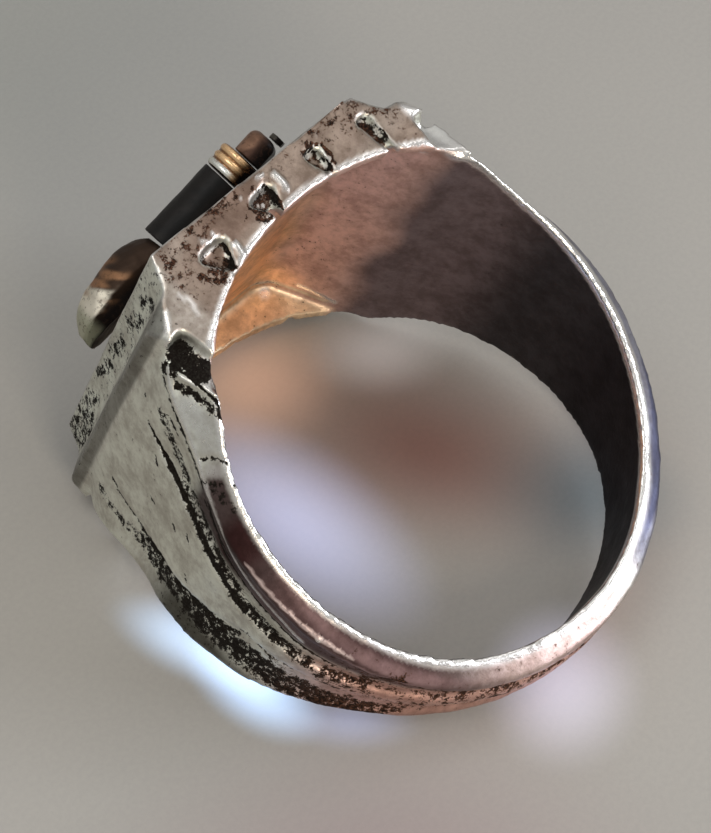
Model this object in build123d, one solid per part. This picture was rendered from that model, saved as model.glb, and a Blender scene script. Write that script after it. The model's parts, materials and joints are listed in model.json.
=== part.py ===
from build123d import *
import os
from math import atan2, cos, degrees, radians, sin

# A cast silver ring with a hollow rectangular head, tapering shoulders and a narrow back, and a
# mixed-metal ornament on the head. The ring lies on its side, leaning on its wide shoulders.
# It is drawn round its finger axis first: across is +X, the head is towards +Y and the finger
# axis is +Z. Angles round the band start at the head. All lengths are millimetres.

# Finger hole and band
bore_d = 19.5
back_half_width = 2.05
shoulder_half_width = 7.7
back_wall = 1.15
shoulder_wall = 2.0
lip = 0.22
back_bevel = 0.55
shoulder_bevel = 1.8
worn_side = 0.3
rail_width = 0.4
channel_depth = 0.34
rail_step = 0.12
tongue_half_width = 3.0

# Head
face_half_width = 5.8
face_half_length = 8.0
face_height = 11.55
face_fall = 0.55
break_half_width = 6.5
break_drop = 1.35
foot_half_width = 8.0
foot_drop = 2.0
wall_draft = 0.3
head_wall = 0.75
arch_drop = 2.3
arch_half_width = 7.85
arch_shoulder_x = 5.6
arch_rise = 1.3
arch_corner_r = 1.6
base_half_width = 7.6
crease_half_width = 5.7
crease_drop = 1.7
hollow_foot_x = 7.55
border = 0.95
field_depth = 0.35

# Relief on the head's two long walls
pit_width = 1.9
pit_depth = 0.4
slit_width = 0.3
slit_height = 0.45
band_height = 0.75
corner_back = 0.9
corner_wall = 1.85
corner_bevel = 0.95
strut_width = 0.4
strut_proud = 0.16
pocket_width = 0.9
pocket_depth = 0.15

# Ornament across the face
ornament_turn_deg = 30.0
ornament_offset = -0.4
seat_rise = 0.7
seat_width = 1.0
seat_length = 8.6
bar_r = 1.02
bar_length = 3.75
bar_start = -0.35
lobe_length = 5.1
lobe_half_width = 1.5
lobe_height = 2.15
neck_gap = 0.05
wire_r = 0.19
wire_count = 3
collar_clearance = 0.05
butt_r = 0.78
butt_length = 1.25
butt_round = 0.4
end_r = 0.38
end_length = 0.3
joint_gap = 0.05

bore_r = bore_d / 2
corner_angle = 45.0
notch_angle = 54.0
break_height = face_height - break_drop
foot_height = face_height - foot_drop
crease_height = face_height - crease_drop
arch_height = face_height - arch_drop
arch_shoulder_height = arch_height - arch_rise
seat_height = face_height + seat_rise

# Sections of the band, one row each: the angle from the head, then shares. width runs from the
# back's half width (0) to the shoulder's (1), rail from the back's wall (0) to the shoulder's (1),
# bevel from the back's (0) to the shoulder's (1), crown is the wall in the middle as a share of
# the shoulder's, tongue is the raised panel's half width and depth the channel's depth.
BAND = [
    # angle, width, rail, bevel, crown, tongue, depth
    (38.0, 0.96, 1.05, 0.00, 1.38, 1.20, 0.00),
    (44.0, 0.97, 0.90, 0.15, 1.15, 1.12, 0.00),
    (50.0, 0.97, 0.62, 0.50, 0.85, 1.02, 0.10),
    (56.0, 0.92, 0.18, 0.80, 0.62, 0.94, 0.70),
    (62.0, 0.80, -0.15, 0.60, 0.50, 0.88, 1.00),
    (69.0, 0.68, -0.23, 0.35, 0.45, 0.79, 1.00),
    (78.0, 0.57, -0.12, 0.15, 0.44, 0.66, 1.00),
    (88.0, 0.47, -0.04, 0.05, 0.45, 0.38, 1.00),
    (98.0, 0.37, 0.00, 0.00, 0.52, 0.17, 1.00),
    (112.0, 0.24, 0.00, 0.00, 0.57, 0.15, 0.95),
    (130.0, 0.09, 0.00, 0.00, 0.60, 0.14, 0.90),
    (152.0, 0.00, 0.00, 0.00, 0.62, 0.14, 0.85),
    (180.0, 0.01, 0.00, 0.00, 0.62, 0.14, 0.85),
]
channel_from = 2

# Pits in a long wall: the place across as a share of arch_shoulder_x, the width at the top as a
# share of pit_width, and how far it reaches from the arch to the border band.
PITS = [
    # place, width, reach
    (-0.66, 1.00, 0.78),
    (-0.08, 0.85, 0.95),
    (0.46, 0.50, 1.00),
    (0.96, 0.36, 0.90),
]

# Stations along the lobe from its free end, as shares of its length, half width and height
LOBE = [
    # along, width, height
    (0.0, 0.42, 0.40),
    (0.12, 0.84, 0.72),
    (0.34, 1.00, 0.95),
    (0.62, 0.96, 1.00),
    (0.88, 0.72, 0.93),
    (1.0, 0.48, 0.70),
]


def mirrored(rows):
    """The rows for the whole way round, the second half mirrored from the first."""
    return list(rows) + [(360 - row[0],) + row[1:] for row in reversed(rows[:-1])]


def station(angle):
    """The plane across the band at an angle: its x points outwards and its y along the finger."""
    a = radians(angle)
    return Plane(origin=(0, 0, 0), x_dir=(sin(a), cos(a), 0), z_dir=(cos(a), -sin(a), 0))


def band_sizes(row):
    """Half width, the rail's place and height, and the crown's height from the finger axis.

    The shoulder towards +X has worn thinner than the other one.
    """
    angle, width, rail, bevel, crown, _, _ = row
    half = back_half_width + width * (shoulder_half_width - back_half_width)
    inset = back_bevel + bevel * (shoulder_bevel - back_bevel)
    worn = worn_side * width if angle < 180 else 0
    rail_r = bore_r + back_wall + rail * (shoulder_wall - back_wall) - worn
    return half, half - inset, rail_r, bore_r + crown * shoulder_wall - worn


def band_section(row):
    """The band's outer form at one angle, down to below the finger hole."""
    half, rail_z, rail_r, crown_r = band_sizes(row)
    inner_r = bore_r - back_wall
    lip_r = bore_r + lip
    control_r = 2 * crown_r - rail_r
    sides = Polyline((rail_r, rail_z), (lip_r, half), (inner_r, half),
                     (inner_r, -half), (lip_r, -half), (rail_r, -rail_z))
    top = Bezier((rail_r, rail_z), (control_r, 0), (rail_r, -rail_z))
    return station(row[0]) * make_face([*sides.edges(), top])


def channel_section(row, side):
    """Cut between the tongue and a rail: deepest beside the tongue, rising towards the rail."""
    _, rail_z, rail_r, crown_r = band_sizes(row)
    tongue, depth = row[-2:]
    tongue_z = tongue * tongue_half_width
    top_r = crown_r + (rail_r - crown_r) * (tongue_z / rail_z) ** 2
    floor_r = top_r - depth * channel_depth
    rail_floor_r = rail_r - depth * rail_step
    clear_r = max(rail_r, crown_r) + back_wall
    outer_z = rail_z - rail_width
    points = [(floor_r, side * tongue_z), (rail_floor_r, side * outer_z),
              (clear_r, side * outer_z), (clear_r, side * tongue_z)]
    return station(row[0]) * make_face(Polyline(*points, close=True))


def band():
    solid = loft([band_section(row) for row in mirrored(BAND)])
    for side in (1, -1):
        rows = mirrored(BAND[channel_from:])
        solid -= loft([channel_section(row, side) for row in rows])
    return solid - Cylinder(bore_r, 4 * shoulder_half_width)


def face_y(x):
    """Height of the face at a place across: it has settled a little towards one end."""
    return face_height - face_fall * (x + face_half_width) / (2 * face_half_width)


def outline(points):
    """A closed face seen along the finger axis."""
    return make_face(Polyline(*points, close=True))


def along_finger(face, half_length):
    return Pos(0, 0, -half_length) * extrude(face, 2 * half_length, dir=(0, 0, 1))


def polar(radius, angle, z):
    """A point at a radius and an angle from the head."""
    return Vector(radius * sin(radians(angle)), radius * cos(radians(angle)), z)


def bar_ends():
    """Where a corner's bar meets the rail and where it meets the rim."""
    rail_end = polar(bore_r + corner_wall, corner_angle, shoulder_half_width - corner_bevel)
    rim_end = polar(bore_r, notch_angle, shoulder_half_width - strut_width / 2)
    return rail_end, rim_end


def corner_cut(side_x, side_z):
    """A block that chamfers one upright corner of the head, below the break in its end wall."""
    rail_end, _ = bar_ends()
    start = Vector(break_half_width, break_height, face_half_length)
    foot = Vector(foot_half_width, foot_height, face_half_length - corner_back)
    low = Vector(rail_end.X, rail_end.Y, face_half_length - wall_draft)
    outwards = (foot - start).cross(low - start).normalized()
    if outwards.X < 0:
        outwards = outwards * -1
    size = 4 * head_wall
    slope = Plane(origin=low, x_dir=(start - low).normalized(), z_dir=outwards)
    cut = slope * Pos(0, 0, size / 2) * Box(4 * size, 4 * size, size)
    cut -= Pos(0, break_height + 4 * size, 0) * Box(16 * size, 8 * size, 16 * size)
    if side_x < 0:
        cut = mirror(cut, Plane.YZ)
    return mirror(cut, Plane.XY) if side_z < 0 else cut


def head_block():
    """The head's outer form, its two long walls drawn in a little towards the finger."""
    base_y = bore_r / 2
    form = outline([
        (-face_half_width, face_y(-face_half_width)), (face_half_width, face_y(face_half_width)),
        (break_half_width, break_height - face_fall), (foot_half_width, foot_height),
        (base_half_width, base_y), (-base_half_width, base_y),
        (-foot_half_width, foot_height), (-break_half_width, break_height)])
    block = along_finger(form, face_half_length)
    low_z = face_half_length - wall_draft
    wedge = Plane.YZ * make_face(Polyline(
        (face_height, face_half_length), (base_y, low_z),
        (base_y, 2 * face_half_length), (face_height, 2 * face_half_length), close=True))
    cut = Pos(-2 * foot_half_width, 0, 0) * extrude(wedge, 4 * foot_half_width, dir=(1, 0, 0))
    block -= [cut, mirror(cut, Plane.XY)]
    for side_x in (1, -1):
        for side_z in (1, -1):
            block -= corner_cut(side_x, side_z)
    return block


def hollow():
    """The space under the face, open to the finger hole."""
    foot_y = (bore_r ** 2 - hollow_foot_x ** 2) ** 0.5
    top_x = crease_half_width - head_wall
    form = outline([
        (-top_x, face_y(-top_x) - head_wall), (top_x, face_y(top_x) - head_wall),
        (crease_half_width, crease_height), (hollow_foot_x, foot_y),
        (-hollow_foot_x, foot_y), (-crease_half_width, crease_height)])
    return along_finger(form, face_half_length - head_wall)


def arch():
    """The opening in the two long walls, a flat arch with rounded corners."""
    lines = Polyline((arch_shoulder_x, arch_shoulder_height),
                     (arch_half_width, arch_shoulder_height - arch_corner_r),
                     (arch_half_width, 0), (-arch_half_width, 0),
                     (-arch_half_width, arch_shoulder_height - arch_corner_r),
                     (-arch_shoulder_x, arch_shoulder_height))
    top = ThreePointArc((-arch_shoulder_x, arch_shoulder_height), (0, arch_height),
                        (arch_shoulder_x, arch_shoulder_height))
    face = make_face([*lines.edges(), top])
    corners = face.vertices().filter_by(lambda v: abs(v.Y - arch_shoulder_height) < head_wall)
    return along_finger(fillet(corners, arch_corner_r), 2 * face_half_length)


def arch_y(x):
    """Height of the arch's edge at a place across."""
    sag = (arch_height - arch_shoulder_height) * (x / arch_shoulder_x) ** 2
    return arch_height - sag


def wall_relief(side):
    """Pits between raised blocks, each opening upwards from a slit at the rim."""
    wall_z = face_half_length - wall_draft / 2
    cuts = []
    for place, width, reach in PITS:
        x = place * arch_shoulder_x
        low = arch_y(x)
        top = low + reach * (face_y(x) - band_height - low)
        half_top = width * pit_width / 2
        half_slit = slit_width / 2
        pit = outline([(x - half_slit, low - slit_height), (x + half_slit, low - slit_height),
                       (x + half_slit, low + slit_height), (x + half_top, top),
                       (x - half_top, top), (x - half_slit, low + slit_height)])
        cuts.append(Pos(0, 0, side * wall_z) * along_finger(pit, pit_depth))
    return cuts


def rim_slits():
    """A slit right through the near wall's rim at the foot of each pit."""
    slits = []
    for place, _, _ in PITS:
        x = place * arch_shoulder_x
        slits.append(Pos(x, arch_y(x), face_half_length)
                     * Box(slit_width, 2 * slit_height, 4 * head_wall))
    return slits


def bar_lie():
    """The plane that a corner's bar lies on, its x from the rail's end to the rim."""
    rail_end, rim_end = bar_ends()
    along = rim_end - rail_end
    upwards = along.cross(Vector(0, 0, 1)).cross(along).normalized()
    lie = Plane(origin=(rail_end + rim_end) * 0.5, x_dir=along.normalized(), z_dir=upwards)
    return lie, along.length


def at_corners(solid):
    """The same solid at all four corners of the head."""
    near = [solid, mirror(solid, Plane.YZ)]
    return near + [mirror(one, Plane.XY) for one in near]


def struts():
    """A short bar at each corner, from the rail's end down to the rim."""
    lie, length = bar_lie()
    bar = lie * Box(length - strut_width, strut_width, 2 * strut_proud)
    return at_corners(bar - Cylinder(bore_r, 4 * shoulder_half_width))


def pockets():
    """A sunk place beside each bar, between it and the last block of the wall."""
    lie, length = bar_lie()
    height = 2 * shoulder_wall
    inner = -strut_width / 2 - pocket_width
    outer = 4 * strut_width
    middle = Pos(-strut_width / 2, (inner + outer) / 2, height / 2 - pocket_depth)
    return at_corners(lie * middle * Box(length - strut_width, outer - inner, height))


def field():
    """The sunk field on the face, inside a plain border."""
    x = face_half_width - border
    form = outline([(-x, face_y(-x) - field_depth), (x, face_y(x) - field_depth),
                    (x, 2 * face_height), (-x, 2 * face_height)])
    return along_finger(form, face_half_length - border)


def ornament_frame():
    """Along the ornament is local x, up from the face local z, with its foot on the seat."""
    turn = radians(ornament_turn_deg)
    return Plane(origin=(0, seat_height, ornament_offset), x_dir=(cos(turn), 0, sin(turn)),
                 z_dir=(0, 1, 0))


def seat():
    """The long flat-topped bed under the ornament, soldered to the field."""
    depth = seat_height - (face_height - face_fall - field_depth)
    block = Pos(0, 0, -depth / 2) * Box(seat_length, seat_width, depth)
    return ornament_frame() * block


def ring_body():
    bored = head_block() - Cylinder(bore_r, 2 * (face_half_length - head_wall))
    solid = band() + (bored - pockets()) + struts()
    solid -= hollow()
    opening = arch()
    core = Box(8 * bore_r, 8 * bore_r, 2 * (face_half_length - head_wall))
    solid -= opening - core
    for side in (1, -1):
        solid -= wall_relief(side)
    return solid - rim_slits() - field() + seat()


def rod(radius, length, start):
    """A round rod along the ornament with a flat foot on the seat."""
    centre_z = radius - radius / 6
    round_rod = Pos(start + length / 2, 0, centre_z) * Rot(0, 90, 0) * Cylinder(radius, length)
    below = Pos(start + length / 2, 0, -radius) * Box(2 * length, 4 * radius, 2 * radius)
    return round_rod - below


def butt():
    """The copper piece past the wire, its far end rounded over."""
    piece = rod(butt_r, butt_length, butt_start)
    far_edges = piece.faces().sort_by(Axis.X)[-1].edges()
    return fillet(far_edges, butt_round)


def lobe():
    """The brass drop at the near end: wide and domed, narrowing to a neck beside the bar."""
    start = bar_start - neck_gap - lobe_length
    faces = []
    for along, width, height in LOBE:
        half = width * lobe_half_width
        top = height * lobe_height
        plane = Plane(origin=(start + along * lobe_length, 0, 0), x_dir=(0, 1, 0),
                      z_dir=(1, 0, 0))
        arc = ThreePointArc((-half, top / 3), (0, top), (half, top / 3))
        foot = Polyline((half, top / 3), (half * 2 / 3, 0), (-half * 2 / 3, 0), (-half, top / 3))
        faces.append(plane * make_face([arc, *foot.edges()]))
    return loft(faces)


def collar():
    """Bright wire turns round the bar's far end, each flat where it meets the seat."""
    turn_r = bar_r + collar_clearance - wire_r
    centre_z = bar_r - bar_r / 6
    points = [(collar_start, 0)]
    for i in range(wire_count):
        middle = collar_start + (2 * i + 1) * wire_r
        for angle in (180, 135, 90, 45):
            a = radians(angle)
            points.append((middle + wire_r * cos(a), turn_r + wire_r * sin(a)))
    points += [(collar_start + collar_width, turn_r), (collar_start + collar_width, 0)]
    turned = revolve(make_face(Polyline(*points, close=True)), Axis.X)
    below = Pos(collar_start, 0, -bar_r) * Box(8 * collar_width, 4 * bar_r, 2 * bar_r)
    return Pos(0, 0, centre_z) * turned - below


collar_start = bar_start + bar_length + joint_gap
collar_width = wire_count * 2 * wire_r
butt_start = collar_start + collar_width + joint_gap
end_start = butt_start + butt_length + joint_gap

frame = ornament_frame()
nodes = {
    "ring_body": ring_body(),
    "ornament_lobe": frame * lobe(),
    "ornament_bar": frame * rod(bar_r, bar_length, bar_start),
    "ornament_collar": frame * collar(),
    "ornament_butt": frame * butt(),
    "ornament_end": frame * rod(end_r, end_length, end_start),
}

# The ring lies on its side: it leans on both shoulders and on the back's edge, so the finger
# axis tips by the angle between those three places of the lower rim.
touch_angle = radians(BAND[channel_from][0])
touch_y = bore_r * cos(touch_angle)
lean_deg = degrees(atan2(shoulder_half_width - back_half_width, touch_y + bore_r + lip))
leaning = {name: Rot(lean_deg, 0, 0) * solid for name, solid in nodes.items()}
boxes = [solid.bounding_box() for solid in leaning.values()]
middle_x = (min(box.min.X for box in boxes) + max(box.max.X for box in boxes)) / 2
middle_y = (min(box.min.Y for box in boxes) + max(box.max.Y for box in boxes)) / 2
to_floor = Pos(-middle_x, -middle_y, -min(box.min.Z for box in boxes))

os.makedirs("parts", exist_ok=True)
for name, solid in leaning.items():
    placed = to_floor * solid
    export_step(placed, f"parts/{name}.step")
    print(name, round(placed.volume, 2), len(placed.solids()))
print("lean", round(lean_deg, 3), "moved", to_floor.position)
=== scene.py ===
import json
import math

import bpy
import numpy as np
from mathutils import Matrix, Vector


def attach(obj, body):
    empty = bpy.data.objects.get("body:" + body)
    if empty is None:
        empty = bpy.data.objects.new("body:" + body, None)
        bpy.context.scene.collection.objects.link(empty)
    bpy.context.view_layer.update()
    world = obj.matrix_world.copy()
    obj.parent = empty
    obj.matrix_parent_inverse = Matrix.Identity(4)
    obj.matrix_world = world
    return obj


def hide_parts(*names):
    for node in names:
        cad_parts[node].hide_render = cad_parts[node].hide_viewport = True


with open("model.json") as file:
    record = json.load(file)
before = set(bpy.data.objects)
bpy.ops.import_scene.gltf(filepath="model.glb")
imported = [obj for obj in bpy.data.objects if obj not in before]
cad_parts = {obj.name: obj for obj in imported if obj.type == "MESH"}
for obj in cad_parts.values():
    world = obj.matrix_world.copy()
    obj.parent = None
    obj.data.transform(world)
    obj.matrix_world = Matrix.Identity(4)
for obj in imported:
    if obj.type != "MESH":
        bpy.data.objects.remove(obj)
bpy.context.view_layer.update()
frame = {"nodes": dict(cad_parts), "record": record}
MM = 0.001

# Camera
# It looks down past the back band into the finger hole from the palm's left, with the head at
# the top left, and is turned a little about its own axis.
IMAGE_HEIGHT = 833
optical_axis_px = (396.7, 444.9)
image_middle_px = (355.5, 416.5)
camera_azimuth = math.radians(-56.2)
camera_elevation = math.radians(53.24)
camera_roll = math.radians(4.66)
camera_distance = 107.3 * MM
camera_lens_mm = 112.55
camera_film_mm = 36
looked_at = Vector((0.085, -1.46, 5.336)) * MM

camera_turn = (Matrix.Rotation(camera_azimuth, 4, "Z")
               @ Matrix.Rotation(math.pi / 2 - camera_elevation, 4, "X")
               @ Matrix.Rotation(camera_roll, 4, "Z"))
camera_place = looked_at + camera_turn.col[2].to_3d() * camera_distance
bpy.ops.object.camera_add(location=camera_place, rotation=camera_turn.to_euler())
camera = bpy.context.object
camera.data.sensor_fit = "VERTICAL"
camera.data.sensor_height = camera_film_mm
camera.data.lens = camera_lens_mm
camera.data.shift_x = (image_middle_px[0] - optical_axis_px[0]) / IMAGE_HEIGHT
camera.data.shift_y = (optical_axis_px[1] - image_middle_px[1]) / IMAGE_HEIGHT
camera.data.clip_start = 1 * MM
camera.data.clip_end = 10
bpy.context.scene.camera = camera

# Light
# A wide cool window low at the palm's side gives the white edge of the band, and a soft panel
# overhead lights the head and the floor. A small warm bulb shines from beside the camera, a weak
# panel from the upper right, and the room behind is a dim warm grey.
LAMPS = [
    # name, direction, distance, size, radiance, colour
    ("window", (0.55, -0.80, 0.30), 0.35, 0.16, 10.0, (0.90, 0.93, 1.0)),
    ("overhead", (-0.30, 0.20, 0.90), 0.40, 0.22, 2.2, (1.0, 0.98, 0.95)),
    ("warm_bulb", (-0.45, -0.75, 0.50), 0.35, 0.09, 18.0, (1.0, 0.86, 0.70)),
    ("upper_right", (0.55, -0.20, 0.80), 0.40, 0.10, 2.5, (0.98, 0.98, 1.0)),
]
ROOM_SHADES = [
    # height: 0 level with the ring, 1 straight above it; colour
    (0.0, (0.33, 0.325, 0.32, 1)),
    (0.75, (0.56, 0.555, 0.54, 1)),
]

for name, direction, distance, size, radiance, colour in LAMPS:
    lamp_place = Vector(direction).normalized() * distance
    bpy.ops.object.light_add(type="AREA", location=lamp_place)
    lamp = bpy.context.object
    lamp.name = name
    lamp.rotation_mode = "QUATERNION"
    lamp.rotation_quaternion = lamp_place.to_track_quat("Z", "Y")
    lamp.data.shape = "SQUARE"
    lamp.data.size = size
    lamp.data.energy = radiance * math.pi * size ** 2
    lamp.data.color = colour

room = bpy.data.worlds.new("room")
room.use_nodes = True
tree = room.node_tree
sky_place = tree.nodes.new("ShaderNodeTexCoord")
sky_parts = tree.nodes.new("ShaderNodeSeparateXYZ")
sky_shades = tree.nodes.new("ShaderNodeValToRGB")
for element, (height, shade) in zip(sky_shades.color_ramp.elements, ROOM_SHADES):
    element.position = height
    element.color = shade
tree.links.new(sky_place.outputs["Generated"], sky_parts.inputs["Vector"])
tree.links.new(sky_parts.outputs["Z"], sky_shades.inputs["Fac"])
tree.links.new(sky_shades.outputs["Color"], tree.nodes["Background"].inputs["Color"])
bpy.context.scene.world = room
bpy.context.scene.view_settings.view_transform = "Standard"

# Material nodes
# What the floor's sheet, the silver and the ornament's metals are mixed from.
COLOUR_OUTPUT = 0
NUMBER_OUTPUT = 2
MIX_FACTOR, MIX_FIRST, MIX_SECOND, MIX_RESULT = 0, 6, 7, 2


class Wire:
    """One output in a material's nodes. A sum on it adds Math nodes."""

    def __init__(self, tree, socket):
        self.tree = tree
        self.socket = socket

    def node(self, kind, settings, inputs, output=0):
        """Adds a node: its settings first, then what its sockets hold, and gives an output."""
        made = self.tree.nodes.new("ShaderNode" + kind)
        for setting, value in settings.items():
            setattr(made, setting, value)
        for name, value in inputs.items():
            if isinstance(value, Wire):
                self.tree.links.new(value.socket, made.inputs[name])
            else:
                made.inputs[name].default_value = value
        return Wire(self.tree, made.outputs[output])

    def sum(self, operation, first, second):
        return self.node("Math", {"operation": operation}, {0: first, 1: second})

    def __add__(self, other):
        return self.sum("ADD", self, other)

    def __sub__(self, other):
        return self.sum("SUBTRACT", self, other)

    def __rsub__(self, other):
        return self.sum("SUBTRACT", other, self)

    def __mul__(self, other):
        return self.sum("MULTIPLY", self, other)

    def tinted(self, colour):
        """This colour, each of its parts multiplied by the other's."""
        return self.node("VectorMath", {"operation": "MULTIPLY"}, {0: self, 1: colour})

    def step(self, low, high):
        """0 below low, 1 above high, and smooth between."""
        return self.node("MapRange", {"interpolation_type": "SMOOTHSTEP"},
                         {"Value": self, "From Min": low, "From Max": high})

    def noise(self, scale, detail=3.0, rough=0.5):
        """Cloudy values round a half, scale to the unit of this place."""
        return self.node("TexNoise", {}, {"Vector": self, "Scale": scale, "Detail": detail,
                                          "Roughness": rough})

    def mix(self, first, second):
        """One colour where this is 0, the other where it is 1."""
        made = self.tree.nodes.new("ShaderNodeMix")
        made.data_type = "RGBA"
        for index, value in ((MIX_FACTOR, self), (MIX_FIRST, first), (MIX_SECOND, second)):
            if isinstance(value, Wire):
                self.tree.links.new(value.socket, made.inputs[index])
            else:
                made.inputs[index].default_value = (*value, 1)
        return Wire(self.tree, made.outputs[MIX_RESULT])

    def stored(self, name, output):
        """What a piece keeps under a name, at each of its vertices."""
        return self.node("Attribute", {"attribute_name": name}, {}, output)

    def seen_from(self, origin, turn, sizes=(1, 1, 1)):
        """This place as measured from an origin, along turned axes, in steps of these sizes."""
        return self.node("Mapping", {"vector_type": "TEXTURE"},
                         {"Vector": self, "Location": origin, "Rotation": turn, "Scale": sizes})

    def bumps(self, strength, distance):
        """A bent normal from heights."""
        return self.node("Bump", {}, {"Height": self, "Strength": strength,
                                      "Distance": distance})

    def into(self, shader, name):
        self.tree.links.new(self.socket, shader.inputs[name])


def finish_of(name):
    """A new material, its shader, and its place in millimetres from the frame's origin."""
    material = bpy.data.materials.new(name)
    material.use_nodes = True
    tree = material.node_tree
    metres = Wire(tree, tree.nodes.new("ShaderNodeTexCoord").outputs["Object"])
    place = metres.node("Mapping", {}, {"Vector": metres, "Scale": (1 / MM,) * 3})
    return material, tree.nodes["Principled BSDF"], place


# Floor
# A plain matt sheet with a faint grain and slow clouds of tone. The light and tints the ring
# throws on it, outside and through the hole, are painted: glows as emission, shade in the
# colour.
floor_size = 1.6
floor_colour = (0.385, 0.372, 0.350)
floor_dark = (0.335, 0.328, 0.312)
floor_roughness = 0.75
floor_gloss = 0.3
grain_height = 0.05 * MM
# Painted light from the ring adds its colour as emission, painted shade multiplies the sheet's
# colour by it: place and half sizes in mm.
THROWN_LIGHT = [
    # x, y, turn, half_x, half_y, colour
    (-9.8, 0.6, 12, 2.1, 4.8, (0.44, 0.64, 0.92)),
    (-10.0, -2.2, -4, 2.2, 3.9, (0.54, 0.80, 1.20)),
    (-9.0, -6.2, 35, 1.6, 3.4, (0.12, 0.15, 0.27)),
    (-2.6, 1.6, -6, 4.4, 8.4, (0.30, 0.33, 0.52)),
    (2.0, 7.8, 20, 4.6, 4.6, (0.26, 0.13, 0.08)),
    (7.0, 4.6, 45, 3.0, 4.0, (0.16, 0.15, 0.15)),
    (-2.0, -12.0, -60, 3.8, 4.6, (0.32, 0.31, 0.42)),
]
# Painted shade and tints reflected from the ring, multiplied into the sheet's colour
PAINTED_FLOOR_SHADE = [
    (4.0, -0.6, 20, 6.5, 9.5, (0.64, 0.40, 0.37)),
    (6.5, -7.0, 30, 4.5, 6.0, (0.62, 0.76, 0.86)),
    (-14.0, -12.0, 45, 9.0, 14.0, (0.88, 0.76, 0.80)),
    (8.0, 36.0, 0, 34.0, 24.0, (0.80, 0.83, 0.82)),
]

bpy.ops.mesh.primitive_plane_add(size=floor_size)
floor = bpy.context.object
floor.name = "floor"
material, shader, place = finish_of("matt_sheet")
clouds = place.noise(0.03, 2.0)
grain = place.noise(4.0, 4.0, 0.7)


def patch(x, y, turn, half_x, half_y):
    """1 in the middle of an oval on the sheet, 0 at its edge."""
    local = place.seen_from((x, y, 0), (0, 0, math.radians(turn)), (half_x, half_y, 1))
    return 1 - local.node("VectorMath", {"operation": "LENGTH"}, {0: local}, 1).step(0.0, 1.0)


cloudy = clouds.step(0.35, 0.65) * 0.6 + grain.step(0.3, 0.7) * 0.4
colour_with_painted_shade = cloudy.mix(floor_dark, floor_colour)
for *oval, colour in PAINTED_FLOOR_SHADE:
    colour_with_painted_shade = colour_with_painted_shade.tinted(patch(*oval).mix((1, 1, 1), colour))
colour_with_painted_shade.into(shader, "Base Color")
thrown = (0, 0, 0)
for *oval, colour in THROWN_LIGHT:
    thrown = place.node("VectorMath", {"operation": "MULTIPLY_ADD"},
                        {0: patch(*oval), 1: colour, 2: thrown})
thrown.into(shader, "Emission Color")
shader.inputs["Emission Strength"].default_value = 1.0
grain.bumps(0.15, grain_height).into(shader, "Normal")
shader.inputs["Roughness"].default_value = floor_roughness
shader.inputs["Specular IOR Level"].default_value = floor_gloss
floor.data.materials.append(material)

# Ring body
# One hollow piece of silver: the head, the shoulders and the back band. Long wear has rounded
# its edges and polished the high parts; brown and black oxide fills the grooves and pits. Shade,
# highlights and reflected light are painted into its colour too: in the hole, on the bevels, in
# some pits and along the bright edges.
finger_hole = frame["record"]["mounts"][0]
hole_place = Vector(finger_hole["pos_m"])
hole_axis = Vector(finger_hole["axis"])
lean = math.atan2(-hole_axis.y, hole_axis.z)
to_ring = Matrix.Rotation(-lean, 4, "X") @ Matrix.Translation(-hole_place)
merge_distance = 0.001 * MM
body_voxel = 0.145 * MM
body_soften_steps = 4
broad_steps = 19


def make_active(piece):
    bpy.ops.object.select_all(action="DESELECT")
    piece.select_set(True)
    bpy.context.view_layer.objects.active = piece


def smoothed(piece, name, steps):
    """Applies a smoothing of the whole piece."""
    make_active(piece)
    soften = piece.modifiers.new(name, "SMOOTH")
    soften.iterations = steps
    bpy.ops.object.modifier_apply(modifier=name)


def worn_copy(node, name, voxel, steps):
    """A copy of a drawn solid as one even mesh level with the ring, its edges softened."""
    mesh = frame["nodes"][node].data.copy()
    mesh.materials.clear()
    mesh.transform(to_ring)
    piece = bpy.data.objects.new(name, mesh)
    bpy.context.scene.collection.objects.link(piece)
    make_active(piece)
    bpy.ops.object.mode_set(mode="EDIT")
    bpy.ops.mesh.select_all(action="SELECT")
    bpy.ops.mesh.remove_doubles(threshold=merge_distance)
    bpy.ops.object.mode_set(mode="OBJECT")
    even = piece.modifiers.new("even", "REMESH")
    even.mode = "VOXEL"
    even.voxel_size = voxel
    bpy.ops.object.modifier_apply(modifier="even")
    smoothed(piece, "soften", steps)
    bpy.ops.object.shade_smooth()
    return piece


def vectors(piece, name):
    """The places (co) or normals of all vertices, one row each."""
    flat = np.empty(len(piece.data.vertices) * 3)
    piece.data.vertices.foreach_get(name, flat)
    return flat.reshape(-1, 3)


def store(piece, name, values):
    """Keeps one number or one colour a vertex, for the finish to read."""
    values = np.asarray(values, dtype=np.float32)
    if values.ndim == 1:
        piece.data.attributes.new(name, "FLOAT", "POINT").data.foreach_set("value", values)
    else:
        opaque = np.concatenate([values, np.ones((len(values), 1), np.float32)], axis=1)
        layer = piece.data.attributes.new(name, "FLOAT_COLOR", "POINT")
        layer.data.foreach_set("color", opaque.ravel())


def raise_surface(piece, places, lift):
    """Moves each vertex out along its normal by its own lift, all in mm."""
    places = places + vectors(piece, "normal") * lift[:, None]
    piece.data.vertices.foreach_set("co", (places * MM).ravel())
    piece.data.update()


def back_to_frame(piece):
    """Takes a piece back from the ring's own axes to the frame."""
    piece.data.transform(to_ring.inverted())
    piece.data.update()


def relief_of(piece, steps):
    """How far each vertex lies above (+) or below (-) its smoothed surroundings, in mm."""
    broad = piece.copy()
    broad.data = piece.data.copy()
    bpy.context.scene.collection.objects.link(broad)
    smoothed(broad, "broad", steps)
    offset = vectors(piece, "co") - vectors(broad, "co")
    height = (offset * vectors(piece, "normal")).sum(axis=1)
    bpy.data.objects.remove(broad)
    return height / MM


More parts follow.
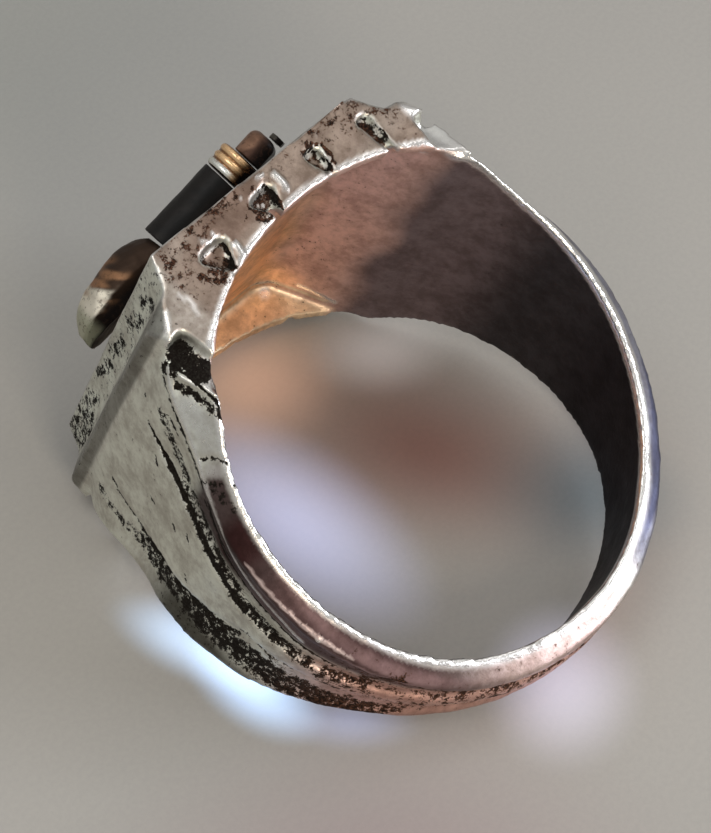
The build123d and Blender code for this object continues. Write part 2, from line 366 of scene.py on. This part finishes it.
def ramp(values, low, high):
    """0 at low, 1 at high, smooth between."""
    share = np.clip((values - low) / (high - low), 0, 1)
    return share * share * (3 - 2 * share)


def waves(places, size, seed):
    """Slow uneven values between about -1 and 1, size in millimetres."""
    chance = np.random.default_rng(seed)
    total = np.zeros(len(places))
    for step in range(6):
        direction = chance.normal(size=3)
        direction /= np.linalg.norm(direction)
        pace = 2 * math.pi / size * (0.6 + 0.25 * step)
        start = chance.uniform(0, 2 * math.pi)
        total += np.sin(places @ direction * pace + start) / (1 + 0.3 * step)
    return total / 2.4


def near_trail(places, trail, width):
    """1 along a trail of points, 0 from three quarters of the width on."""
    far = np.full(len(places), np.inf)
    for start, end in zip(trail[:-1], trail[1:]):
        start = np.array(start)
        along = np.array(end) - start
        share = np.clip((places - start) @ along / (along @ along), 0, 1)
        far = np.minimum(far, np.linalg.norm(places - start - share[:, None] * along, axis=1))
    return 1 - ramp(far, 0.25 * width, 0.75 * width)


def blended(tone, colour, weight):
    return tone + (np.array(colour) - tone) * np.clip(weight, 0, 1)[:, None]


# Marks on the silver, in ring millimetres: across, towards the head, along the finger. The pit
# shade and shadow marks, the plate shade and the dark under the bar are painted shade, and the
# edge glint and the pale arc are painted highlights; the other marks are oxide, stains, seams
# and wear. oxide is dark above 0 and bare metal below, lift raises the surface (mm).
MARKS = [
    # name, oxide, lift, width, trail
    # Painted shade round the pits
    ("pit_shade", 0.5, -0.02, 1.0, [(-3.9, 9.7, 7.9), (-4.3, 9.1, 7.9)]),
    ("pit_shade", 0.5, -0.02, 0.9, [(-0.4, 10.2, 7.9), (-0.9, 9.7, 7.9)]),
    ("pit_shade", 0.45, -0.02, 0.5, [(2.4, 10.5, 7.9), (3.0, 9.8, 7.9)]),
    ("pit_shade", 0.45, -0.02, 0.5, [(5.6, 9.4, 7.6), (5.6, 8.8, 7.6)]),
    # Painted shadow down in the pits
    ("pit_shadow", 1.0, -0.05, 0.3, [(-3.4, 9.5, 7.4), (-3.6, 9, 7.8)]),
    ("pit_shadow", 1.0, -0.05, 0.16, [(-3, 10, 7.5), (-3.3, 9.5, 7.7), (-3.6, 9.1, 7.8)]),
    ("pit_shadow", 1.0, -0.05, 0.34, [(0.2, 10.3, 7.5), (-0.2, 9.7, 7.9), (-0.3, 9.4, 7.9)]),
    ("pit_shadow", 1.0, -0.05, 0.14, [(-0.5, 10.8, 8), (-0.4, 10.5, 7.5)]),
    ("pit_shadow", 1.0, -0.05, 0.14, [(-0.1, 10.6, 8), (0.2, 10.3, 7.4)]),
    ("pit_shadow", 1.0, -0.05, 0.12,
     [(2.6, 10.8, 8), (3.1, 10.2, 7.9), (3.1, 9.7, 7.9), (2.9, 9.3, 7.9)]),
    ("pit_shadow", 1.0, -0.05, 0.12, [(2.5, 10.5, 8), (2.9, 10.1, 7.4), (2.8, 9.6, 7.8)]),
    ("pit_shadow", 1.0, -0.05, 0.26, [(2.8, 9.6, 7.8), (2.7, 9.3, 7.7)]),
    ("pit_shadow", 1.0, -0.05, 0.24, [(5.6, 9.1, 7.4), (5.6, 8.7, 7.5)]),
    ("pit_stain", 0.75, 0, 0.22, [(-5, 9.6, 7.9), (-4.8, 9.1, 7.9), (-4.3, 8.9, 7.9)]),
    ("pit_stain", 0.75, 0, 0.22, [(-4.6, 9.5, 7.9), (-4.1, 9.2, 7.9), (-3.6, 8.9, 7.4)]),
    ("pit_stain", 0.75, 0, 0.13, [(-4.1, 10.6, 8), (-4.2, 10.2, 7.4), (-4.9, 9.6, 7.9)]),
    ("pit_stain", 0.75, 0, 0.3, [(-1.3, 9.8, 7.9), (-1.1, 9.5, 7.9), (-0.6, 9.5, 7.9)]),
    ("pit_stain", 0.75, 0, 0.14, [(-1.3, 10.6, 8), (-1.2, 10.1, 7.9), (-0.9, 9.9, 7.9)]),
    ("pit_stain", 0.75, 0, 0.22, [(5.6, 9.2, 7.8), (5.6, 8.8, 7.9)]),
    ("streak", -1.0, 0.03, 0.3, [(6.2, 8.75, -6.4), (6.6, 7.9, -6.5), (7.0, 7.2, -6.7)]),
    ("streak", -1.0, 0.05, 0.45, [(5.2, 9.72, -7.25), (5.3, 9.7, -7.2)]),
    ("bead", -1.0, 0.1, 0.26, [(-2.9, 9.6, 7.9), (-3, 9.1, 7.9)]),
    ("bead", -1.0, 0.1, 0.1, [(-3.7, 10.2, 7.4), (-3.6, 9.6, 7.4), (-3.6, 9.1, 7.5)]),
    ("bead", -1.0, 0.1, 0.16, [(-3.9, 10.6, 8), (-3.6, 10.3, 7.9)]),
    ("bead", -1.0, 0.1, 0.12, [(-3.3, 10.5, 8), (-3.2, 10.3, 7.7)]),
    ("bead", -1.0, 0.1, 0.28, [(0.6, 10.6, 8), (0.6, 10.2, 7.9), (0.5, 9.9, 7.9)]),
    ("bead", -1.0, 0.1, 0.14, [(-0.1, 11, 8), (0.2, 10.9, 8)]),
    ("bead", -1.0, 0.1, 0.1, [(-0.2, 10.7, 8), (0, 10.6, 8)]),
    ("bead", -1.0, 0.1, 0.1, [(-1.2, 10.8, 8), (-1, 10.5, 7.7), (-0.4, 10, 7.4)]),
    ("bead", -1.0, 0.1, 0.14, [(2.7, 10.4, 8), (2.9, 10.1, 7.8), (2.9, 9.6, 7.9)]),
    ("bead", -1.0, 0.1, 0.12, [(3.2, 10.7, 8), (3.2, 10.6, 8)]),
    ("border_spots", 0.52, -0.01, 0.22,
     [(-1.1, 11.3, 8), (-1.4, 10.9, 8), (-1.9, 11, 8), (-2.5, 11.3, 8), (-3.1, 11.2, 8),
      (-3.8, 11.2, 8), (-4.4, 11, 8), (-5, 10.9, 8), (-5.9, 10.4, 8)]),
    ("border_spots", 0.52, -0.01, 0.18, [(-1.6, 11.3, 8), (-2.6, 11.1, 8)]),
    ("border_spots", 0.52, -0.01, 0.14, [(-1.3, 10.3, 7.9), (-1.9, 10, 7.9)]),
    ("border_spots", 0.52, -0.01, 0.2, [(3.1, 11, 8), (3.8, 10.7, 8), (4.6, 10.6, 8)]),
    ("border_spots", 0.52, -0.01, 0.2, [(4.7, 10, 7.9), (5.7, 9.9, 7.6), (6.6, 9.5, 7.9)]),
    ("end_wall_spots", 0.46, -0.015, 0.8, [(-6.2, 10.8, 5.4), (-6.5, 10.2, 6.4)]),
    ("end_wall_spots", 0.46, -0.015, 0.8, [(-6.1, 10.9, 3.1), (-6.4, 10.5, 4.6)]),
    ("end_wall_spots", 0.46, -0.015, 0.8, [(-6, 11.1, 0.3), (-6.2, 10.7, 1.8)]),
    ("end_wall_spots", 0.5, -0.015, 0.55, [(-5.9, 11.3, -2.2), (-6.2, 10.8, -0.2)]),
    ("end_wall_spots", 0.46, -0.015, 0.8, [(-6, 11.2, -4.9), (-6.2, 10.8, -3.3)]),
    ("end_wall_spots", 0.5, -0.015, 0.9, [(-6, 11.1, -5.8), (-6.3, 10.5, -4.7)]),
    ("end_wall_spots", 0.5, -0.015, 0.8, [(-6, 11.2, -7.7), (-6.2, 10.8, -7.5)]),
    # A painted highlight along the corner between the end wall and the long wall
    ("edge_glint", -0.9, 0.0, 0.25, [(-7.1, 9.5, 7.9), (-7.5, 9, 7.8), (-7.9, 8.6, 7.3)]),
    ("corner_spots", 0.35, 0, 0.25, [(-5.9, 11.4, 7.3), (-6.2, 10.7, 7.8), (-6.4, 10.4, 8)]),
    # A painted highlight: a bright arc on the first block
    ("pale_arc", -0.6, 0.02, 0.2, [(-6.2, 9.6, 7.9), (-6, 9.2, 7.9), (-6.2, 8.6, 7.9)]),
    ("bar_pit", 0.8, -0.04, 0.95, [(-7.6, 8.2, 7), (-7.6, 7.6, 7.2), (-7.6, 7, 7.3)]),
    ("bar_pit", 0.8, -0.04, 0.6, [(-8.3, 8.2, 6.8), (-8.4, 7.8, 7)]),
    ("bar_seam", 1.0, -0.06, 0.18, [(-8, 8.1, 6.9), (-8.1, 7, 7.3), (-8.1, 5.6, 7.3)]),
    # Painted shade under the bar's lower edge
    ("under_bar", 0.66, -0.02, 0.45, [(-8.4, 7.3, 6.7), (-8.3, 6.2, 6.9), (-8.3, 5.2, 7.1)]),
    ("near_groove", 0.95, -0.1, 0.16, [(-8.7, 7.6, 3.2), (-8.8, 7, 3), (-9, 6.3, 2.8)]),
    ("near_groove", 0.95, -0.1, 0.36, [(-9, 6.3, 2.8), (-9.4, 5.2, 2.6), (-9.8, 4.2, 2.4)]),
    ("near_groove", 0.9, -0.1, 0.5,
     [(-9.8, 4.2, 2.4), (-10.3, 2.8, 2), (-10.6, 1.3, 1.4), (-10.7, 0, 0.9)]),
    ("mottled_strip", 0.5, 0, 0.8,
     [(-8.8, 7.2, 4.7), (-9, 6, 3.8), (-9.2, 4.8, 3), (-9.8, 3.5, 2.6), (-10.2, 2.1, 2)]),
    ("mottled_strip", 0.55, 0, 0.9,
     [(-10.2, 2.1, 2), (-10.3, 0.3, 1.1), (-10.4, -1.5, 0.8), (-10.1, -3, 0.5)]),
    ("rail_seam", 0.8, -0.05, 0.2,
     [(-8.2, 8.4, 6.5), (-8.8, 7.1, 6), (-9.4, 5.6, 5.4), (-9.8, 4.3, 4.8), (-10.1, 2.9, 3.4),
      (-10.4, 1.3, 2.5), (-10.5, -0.6, 2), (-10.4, -2.4, 1.5), (-9.8, -4.3, 1)]),
    ("rail_edge", -0.7, 0.03, 0.2,
     [(-8.2, 8.1, 6.8), (-8.8, 7, 6.2), (-9.3, 5.4, 5.6), (-9.8, 4.1, 5), (-10.4, 2.6, 4.4),
      (-10.6, 1.1, 3.3), (-10.6, -0.8, 2.7), (-10.4, -2.5, 2)]),
    ("crack", 0.8, -0.05, 0.17, [(-9.5, 4.9, 5.4), (-9.2, 4.5, 5.9), (-9.1, 4, 6.1)]),
    ("crack", 0.8, -0.05, 0.17, [(-9.8, 4.2, 5), (-9.6, 3.7, 5.4), (-9.3, 3.2, 5.7)]),
    ("plate", -0.5, 0, 0.9, [(-8.7, 6.5, 6.4), (-8.8, 5.6, 6.4), (-9, 4.9, 6.1)]),
    ("plate", -0.5, 0, 0.5, [(-9.5, 4.3, 5.5), (-9.3, 3.9, 5.8)]),
    ("side_line", 0.8, -0.03, 0.16,
     [(-9.6, 4.2, 4.6), (-10.0, 3.0, 4.2), (-10.4, 1.4, 3.8), (-10.6, -0.6, 3.2),
      (-10.3, -2.4, 2.7)]),
    ("side_line", 0.8, -0.03, 0.18,
     [(-8.9, 7, 5.2), (-9.3, 5.6, 4.6), (-9.8, 4, 3.9), (-10.3, 2, 3.2), (-10.5, 0, 2.6),
      (-10.4, -2, 2.2)]),
    # Painted shade on the plate
    ("plate_shade", 0.4, 0, 0.5, [(-9.8, 3.6, 5.2), (-9.8, 2.7, 5.2)]),
    ("red_brown_band", 0.0, 0, 0.42, [(-10.3, 2, 4.8), (-10.4, 0.8, 4.5), (-10.4, -0.3, 4.2)]),
    ("red_brown_band", 0.0, 0, 0.3, [(-10.3, -0.6, 4.2), (-10.1, -2.4, 3.6), (-9.6, -4.1, 3.1)]),
    ("pink_rail", -0.3, 0.02, 0.14,
     [(-10.8, 1, 4.3), (-10.8, -0.9, 3.8), (-10.5, -2.6, 3.3), (-9.9, -4.5, 2.8)]),
    ("solder_bead", -1.0, 0.08, 0.15, [(-10.5, -3, 3.1), (-10.4, -3.1, 3.2)]),
    ("far_glitter", 0.46, -0.03, 0.7, [(-8.5, 8, -4.6), (-8.9, 6.6, -4.4), (-9.3, 5.1, -4)]),
    ("far_channel", 0.6, -0.05, 1.2, [(-9.3, 5, -3.8), (-9.8, 3.7, -3.5), (-10.3, 2, -2.9)]),
    ("far_channel", 0.66, -0.05, 1.7,
     [(-10.3, 2, -2.9), (-10.6, 0.2, -2.5), (-10.6, -1.6, -2.3)]),
    ("far_channel", 0.66, -0.05, 1.8,
     [(-10.6, -1.6, -2.3), (-10.2, -3.3, -2.2), (-9.7, -4.9, -2.2), (-8.9, -6.3, -2)]),
    ("tongue_edge", 0.8, -0.04, 0.2,
     [(-8.6, 7.8, -2.8), (-9.2, 5.3, -3.4), (-10.1, 2.5, -2.7), (-10.5, 0.2, -1.9),
      (-10.4, -0.4, -1.4)]),
    ("fleck", 0.75, -0.02, 0.16, [(-9.7, 4.4, 0.3), (-9.8, 4.1, 0)]),
    ("fleck", 0.75, -0.02, 0.16, [(-10, 3.8, 1), (-10.1, 3.4, 0.7)]),
    ("fleck", 0.75, -0.02, 0.14, [(-9, 6.7, 2.2), (-9.1, 6.3, 1.8)]),
    ("fleck", 0.75, -0.02, 0.15, [(-9.2, 6, -0.3), (-9.3, 5.5, -0.4)]),
    ("fleck", 0.75, -0.02, 0.14, [(-10.3, 2.8, -1.2), (-10.4, 2.5, -1.5)]),
    ("fleck", 0.75, -0.02, 0.15, [(-8.3, 8.4, 4.2), (-8.4, 8.3, 4.2)]),
    ("palm_spots", 0.52, -0.01, 0.9, [(-10.2, -3.7, 0.3), (-9.5, -5.1, 0.4), (-8.9, -6.3, 2.1)]),
    ("palm_spots", 0.52, -0.01, 0.8, [(-9.1, -5.7, -1.9), (-8.1, -7.1, -1.2)]),
    ("stippled_ridge", 0.44, 0, 0.6,
     [(-10.7, -0.6, -0.6), (-10.3, -2.3, -1.1), (-10.2, -3.9, -0.4), (-9.5, -5.4, -0.2)]),
]

ring_body = worn_copy("ring_body", "worn_ring_body", body_voxel, body_soften_steps)
places = vectors(ring_body, "co") / MM
normals = vectors(ring_body, "normal")
across, head, finger = places.T
# 0 at the middle of the head, 180 at the middle of the back, plus towards the ring's right
angle = np.degrees(np.arctan2(across, head))
radius = np.hypot(across, head)
outward = (normals[:, 0] * across + normals[:, 1] * head) / radius
upward = normals[:, 2] * np.sign(finger)
uneven = waves(places, 5.0, 3)

# The rim: how far the band reaches along the finger, for every two degrees round it
sectors = 180
band_top = 8.5
far_from_rim = 9.0
sector = ((angle + 180) // 2).astype(int) % sectors
rim_at = np.zeros(sectors)
np.maximum.at(rim_at, sector, np.where(head < band_top, abs(finger), 0))
middles = np.arange(sectors) * 2 - 179
rim_gap = np.interp(angle, middles, rim_at, period=360) - abs(finger)
rim_gap = np.where(head < band_top, rim_gap, far_from_rim)
streaked = waves(np.stack([rim_gap * 2.6, angle * 0.02, 0.2 * radius], axis=1), 1.0, 21)

# The arch that the hollow cuts out of each long wall of the head
arch_top = 9.25
arch_drop = 1.3
arch_half_width = 5.6
arch_gap = head - (arch_top - arch_drop * (across / arch_half_width) ** 2)

# Zones of the silver, each 0 to 1. A ramp names where it starts and where it is full: shares of
# a normal, millimetres, or degrees for the angle.
inside = ramp(-outward, 0.25, 0.6) * ramp(head, 11.3, 11.0)
inside = np.maximum(inside, ramp(-upward, 0.3, 0.6) * ramp(head, 5.5, 6.5))
over_arch = ramp(arch_gap, 0.0, 0.2) * ramp(abs(finger), 6.6, 6.9)
inside = inside * (1 - over_arch * ramp(upward, -0.3, 0.0))
walls = ramp(upward, 0.75, 0.92) * ramp(head, 5.2, 6.4) * ramp(abs(finger), 7.1, 7.5)
ends = ramp(head, 9.3, 9.8) * ramp(abs(normals[:, 0]), 0.3, 0.6) * (1 - inside)
face = ramp(normals[:, 1], 0.7, 0.9) * ramp(head, 10.0, 10.6)
palm = ramp(abs(angle), 95, 125) * (1 - inside)
shoulder = ramp(head, 9.4, 8.6) * (1 - walls) * (1 - inside) * (1 - palm)
facet = ramp(abs(across), 6.5, 6.9) * ramp(head, 8.9, 9.1) * ramp(head, 10.2, 9.9)

# The lip is the polished edge round the hole, also painted bright for the highlight on it; the
# line along the band's edge and the top of the head's right end are painted highlights
below_head = ramp(head, 7.0, 6.0)
lip_reach = 10.3 - 0.12 * ramp(abs(angle + 85), 50, 30)
in_reach = ramp(radius, lip_reach + 0.05, lip_reach - 0.25)
lip = in_reach * (1 - inside) * below_head * ramp(upward, 0.2, 0.5)
lip = np.maximum(lip, walls * ramp(arch_gap, 0.40, 0.22))
# A painted highlight line along the band's edge
edge_highlight = (ramp(rim_gap, 0.50, 0.28) * ramp(radius, 10.3, 10.1)
             * below_head * ramp(finger, 0.0, 0.6))
inside = inside * (1 - edge_highlight)
lip = np.maximum(lip, edge_highlight * in_reach)
# A painted highlight on the top of the head's right end
right_end_highlight = (ramp(across, 6.9, 7.2) * ramp(upward, 0.3, 0.6)
             * ramp(head, 9.6, 9.2) * ramp(head, 6.0, 6.5))
lip = np.maximum(lip, right_end_highlight * (1 - inside))

# The flanks are the band's sides between the lip and the channels
past_side = abs(angle) - 75
flank = (1 - inside) * (1 - lip) * ramp(head, 4.8, 4.0)
flank = flank * ramp(finger, 1.9 - 0.02 * past_side, 2.9 - 0.03 * past_side)
left_flank = flank * ramp(across, -1.0, -4.0) * ramp(angle, -158, -125)
right_flank = flank * ramp(across, 0.5, 2.0) * ramp(angle, 172, 160)
far_flank = ((1 - inside) * ramp(across, -5.0, -7.0) * ramp(finger, -2.6, -3.6)
             * ramp(head, 5.0, 2.5))

# Inside the hole: a painted orange reflection of warm light under the head's left, painted
# shade darkening the right side, and a painted lit patch on the far ledge
far_half = ramp(finger, 4.5, -2.0)
under_left = ramp(angle, -30, -10)
# Where the painted orange reflection lies, and its cloudy edge
orange = inside * ramp(angle, 36, 22) * under_left * far_half
orange_cloud = inside * ramp(angle + 6 * uneven, 36, 22) * under_left * far_half
# Painted shade over the right side of the hole
tarnished = inside * ramp(angle + 3 * uneven, 40, 51)
ledge = inside * ramp(finger, -7.0, -7.3) * ramp(head, 6.8, 7.4)

SILVER = (0.74, 0.72, 0.68)
TONES = [
    # what, colour, where; each lies over the ones before
    ("dulled shoulders", (0.86, 0.88, 0.80), shoulder),
    ("end walls", (0.86, 0.89, 0.81), ends),
    # Painted shade on the corner bevels
    ("dark bevels", (0.30, 0.30, 0.27), facet * (1 - walls)),
    ("browned long walls", (0.36, 0.28, 0.225), walls),
    ("paler patches", (0.52, 0.46, 0.40),
     walls * np.maximum(ramp(across, -5.6, -6.2), ramp(uneven, 0.2, 0.9))),
    ("brown runs", (0.25, 0.16, 0.12),
     walls * ramp(streaked, 0.3, 0.9) * ramp(arch_gap, 0.5, 0.9) * 0.6),
    ("face", (0.60, 0.57, 0.52), face),
    ("pink back", (0.74, 0.56, 0.52), palm * ramp(uneven, -0.8, 0.8)),
    ("redder low back", (0.74, 0.46, 0.38), palm * ramp(finger, 1.6, 0.4)),
    ("tarnished left flank", (0.062, 0.045, 0.044), left_flank),
    ("its maroon part", (0.034, 0.014, 0.014),
     left_flank * ramp(angle, -74, -79) * ramp(angle, -90, -84)),
    ("its brown part", (0.085, 0.050, 0.050), left_flank * ramp(angle, -82, -98)),
    ("its pale streaks", (0.22, 0.14, 0.14),
     left_flank * ramp(streaked, 0.1, 0.9) * ramp(angle, -84, -98)),
    ("right flank", (0.30, 0.30, 0.36), right_flank),
    ("its blue streaks", (0.04, 0.05, 0.13), right_flank * ramp(streaked, 0.0, 0.7) * 0.7),
    ("pink inside", (0.74, 0.50, 0.43), inside),
    # A painted reflection of warm light
    ("orange glow", (1.0, 0.62, 0.34), orange_cloud),
    # Painted shade on the right of the hole, darker to the right and darkest to the back
    ("painted shade inside", (0.135, 0.105, 0.110), tarnished),
    ("darker to the right", (0.034, 0.031, 0.034), tarnished * ramp(angle, 64, 86)),
    ("darkest to the back", (0.014, 0.012, 0.014), tarnished * ramp(angle, 92, 115)),
    ("lit ledge", (1.0, 0.80, 0.55), ledge * ramp(angle, -10, 5)),
    ("dark left inside", (0.07, 0.05, 0.045), inside * ramp(angle, -40, -56)),
    ("far flank", (0.10, 0.10, 0.085), far_flank),
]
PINK_WEAR = (0.60, 0.44, 0.42)
HOLLOW_BROWN = (0.05, 0.035, 0.028)
BARE_SILVER = (0.93, 0.92, 0.90)
tone = np.tile(SILVER, (len(places), 1))
for _, colour, where in TONES:
    tone = blended(tone, colour, where)

# Oxide turns the metal black from about a half on, rust makes that black brown, patina takes
# the gloss of metal away, and shine is bare polish, which on the lip, the edge line and the
# glint and arc marks is also a painted highlight
# Less oxide over the painted shade on the right of the hole
oxide = 0.06 + 0.08 * uneven - 0.6 * tarnished
oxide += ((0.12 + 0.24 * ramp(finger, -3.0, -6.0)) * ends - 0.06 * shoulder + 0.10 * face
          + 0.04 * walls)
oxide += palm * (0.40 * ramp(rim_gap, 0.9, 1.3) + 0.02) * (0.7 + 0.3 * streaked)
oxide += 0.20 * walls * ramp(arch_gap, 0.9, 1.7) * ramp(across, -6.8, -5.8)
oxide += 0.24 * far_flank
oxide -= 0.5 * lip
rust = np.maximum(walls * ramp(across, -7.2, -6.6), palm)
# Matt inside the hole, most on its painted shade and least under the painted orange reflection
patina = np.maximum(inside * (0.40 + 0.60 * tarnished) * (1 - orange), 0.9 * left_flank)
patina = np.maximum(patina, 0.5 * far_flank)
shine = lip

# The surface swells slowly, and is taken in a little to keep inside the drawn solid's box
taken_in = 0.035
lift = (0.028 * waves(places, 2.3, 5) + 0.008 * waves(places, 0.8, 6)) * (1 - 0.7 * inside)
lift = lift - taken_in
for name, stain, rise, width, trail in MARKS:
    weight = near_trail(places, trail, width)
    oxide = np.where(stain > 0, np.maximum(oxide, stain * weight), oxide * (1 - weight))
    shine = np.maximum(shine, -min(stain, 0) * weight)
    lift = lift + rise * weight
    if name == "pink_rail":
        tone = blended(tone, PINK_WEAR, weight)
raise_surface(ring_body, places, lift)

relief = relief_of(ring_body, broad_steps)
edge = ramp(relief, 0.03, 0.10) * (1 - 0.95 * np.maximum(left_flank, right_flank))
shine = np.maximum(shine, edge * (1 - inside))
hollow = ramp(-relief, 0.02, 0.12) * (1 - inside)
oxide = oxide + hollow * (0.5 + 0.3 * walls) - edge * 0.35
tone = blended(tone, HOLLOW_BROWN, hollow * 0.75)
tone = blended(tone, BARE_SILVER, shine * 0.85)
store(ring_body, "tone", tone)
store(ring_body, "oxide", oxide)
store(ring_body, "shine", shine)
store(ring_body, "patina", patina * (1 - shine))
store(ring_body, "rust", rust)
back_to_frame(ring_body)

silver_gloss = 0.05
silver_grain_height = 0.05 * MM
material, shader, place = finish_of("worn_silver")
ring_place = place.seen_from(tuple(hole_place / MM), (lean, 0, 0))
tone = place.stored("tone", COLOUR_OUTPUT)
oxide = place.stored("oxide", NUMBER_OUTPUT)
shine = place.stored("shine", NUMBER_OUTPUT)
patina = place.stored("patina", NUMBER_OUTPUT)
rust = place.stored("rust", NUMBER_OUTPUT)
blotch = ring_place.noise(0.9, 4.0, 0.6)
fleck = ring_place.noise(3.2, 5.0, 0.72)
fine = ring_place.noise(11.0, 3.0, 0.6)
dark = (oxide + fleck * 2.0 + fine * 0.8 - 1.4).step(0.36, 0.54)
cloudy = (blotch * 0.6 + fleck * 0.4).step(0.35, 0.65) * (0.8 - shine * 0.6)
clouded = cloudy.mix(tone, tone.tinted((0.50, 0.46, 0.44)))
crust = rust.mix((0.020, 0.018, 0.015), (0.10, 0.046, 0.028))
crust = fine.step(0.4, 0.7).mix((0.007, 0.005, 0.004), crust)
dark.mix(clouded, crust).into(shader, "Base Color")
(1 - dark * 0.85 - patina).into(shader, "Metallic")
(blotch * 0.25 + fine * 0.15 + dark * 0.30 - shine * 0.20 + 0.20).into(shader, "Roughness")
(fleck * 0.6 + fine * 0.3 - dark * 0.6).bumps(0.5, silver_grain_height).into(shader, "Normal")
shader.inputs["Specular IOR Level"].default_value = silver_gloss
ring_body.data.materials.append(material)
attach(ring_body, "root")
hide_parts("ring_body")

# Ornament
# Mixed metals end to end on the bed across the face: a browned brass drop with pale streaks on
# its top, partly wear and partly painted highlight, a blackened rod, three turns of bright wire,
# and a copper butt with a pale tip. Each is painted lighter on top and darker below, with
# painted shade between the wire's turns and a painted shadow where it nears the bed.
ornament_turn = math.radians(30.0)
ornament_foot = 12.25
ornament_voxel = 0.055 * MM
ornament_soften_steps = 3
ornament_gloss = 0.3
ornament_grain_height = 0.04 * MM
wire_turns = 3
streak_skew = np.array(((1.0, 0.2, 0), (0.2, 1.0, 0.5), (0, 0.5, 1.0)))
DROP_BROWN = (0.36, 0.19, 0.10)
DROP_TIP = (0.36, 0.37, 0.27)
FIRST_TURN = (0.86, 0.87, 0.80)
FOOT_SHADOW = (0.008, 0.006, 0.006)
ORNAMENT = [
    # node, piece, slot, high colour (painted lit top), low colour (painted shaded underside,
    # also the stains' colour), metallic, roughness
    ("ornament_lobe", "brass_drop", "lobe_brass",
     (0.74, 0.69, 0.58), (0.045, 0.027, 0.018), 0.75, 0.50),
    ("ornament_bar", "black_rod", "black_bar",
     (0.010, 0.008, 0.007), (0.003, 0.003, 0.003), 0.3, 0.50),
    ("ornament_collar", "wire_turns", "wire",
     (1.0, 0.66, 0.36), (0.24, 0.11, 0.045), 1.0, 0.26),
    ("ornament_butt", "copper_butt", "copper",
     (0.30, 0.17, 0.11), (0.06, 0.03, 0.02), 0.7, 0.42),
    ("ornament_end", "pale_tip", "pale_tip",
     (0.66, 0.66, 0.55), (0.12, 0.11, 0.09), 0.85, 0.40),
]

for node, name, slot, high, low, metal, rough in ORNAMENT:
    piece = worn_copy(node, name, ornament_voxel, ornament_soften_steps)
    places = vectors(piece, "co") / MM
    across, head, finger = places.T
    along = across * math.cos(ornament_turn) + finger * math.sin(ornament_turn)
    height = head - ornament_foot
    streaks = waves(places @ streak_skew, 1.1, 7)
    tone = np.tile(low, (len(places), 1))
    if name == "brass_drop":
        brown = ramp(streaks, -0.2, 0.6) * ramp(along, -2.0, -2.8) * 0.8
        # Pale streaks on the top: partly wear, partly a painted highlight
        pale = ramp(along + 0.6 * streaks, -3.3, -4.1) * ramp(height + 0.2 * streaks, 0.5, 0.8)
        tone = blended(tone, DROP_BROWN, brown)
        tone = blended(tone, high, pale)
        lift = 0.05 * waves(places, 1.6, 9) + 0.02 * waves(places, 0.7, 11) - 0.07
    elif name == "wire_turns":
        start = along.min()
        turn_length = (along.max() - start) / wire_turns
        between = ramp(np.cos(2 * math.pi * (along - start) / turn_length), 0.3, 0.9)
        first = ramp(along, start + 0.45, start + 0.33) * ramp(height, 0.3, 0.8)
        # Painted light: each turn lighter on top
        tone = blended(tone, high, ramp(height, 0.1, 0.6))
        tone = blended(tone, FIRST_TURN, first)
        # Painted shade in the grooves between the turns
        tone = blended(tone, low, between)
        lift = np.zeros(len(places))
    else:
        # Painted light: lighter on top, darker below
        tone = blended(tone, high, ramp(height + 0.35 * streaks, 0.55, 1.5))
        lift = 0.015 * waves(places, 1.2, 13) - 0.02
    # A painted shadow where each piece nears the bed
    tone = blended(tone, FOOT_SHADOW, ramp(height, 0.75, 0.25))
    if name == "brass_drop":
        tone = blended(tone, DROP_TIP, ramp(along, -4.5, -5.0) * ramp(height, 0.0, 0.2) * 0.8)
    raise_surface(piece, places, lift)
    store(piece, "tone", tone)
    back_to_frame(piece)

    material, shader, place = finish_of(name)
    fleck = place.noise(3.5, 5.0, 0.7)
    fine = place.noise(12.0, 3.0, 0.6)
    stain = (fleck + fine * 0.4 - 0.2).step(0.52, 0.66) * 0.55
    stain.mix(place.stored("tone", COLOUR_OUTPUT), low).into(shader, "Base Color")
    shader.inputs["Metallic"].default_value = metal
    shader.inputs["Specular IOR Level"].default_value = ornament_gloss
    (fleck * 0.3 + rough - 0.15).into(shader, "Roughness")
    (fleck + fine * 0.3).bumps(0.3, ornament_grain_height).into(shader, "Normal")
    piece.data.materials.append(material)
    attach(piece, "root")
    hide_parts(node)
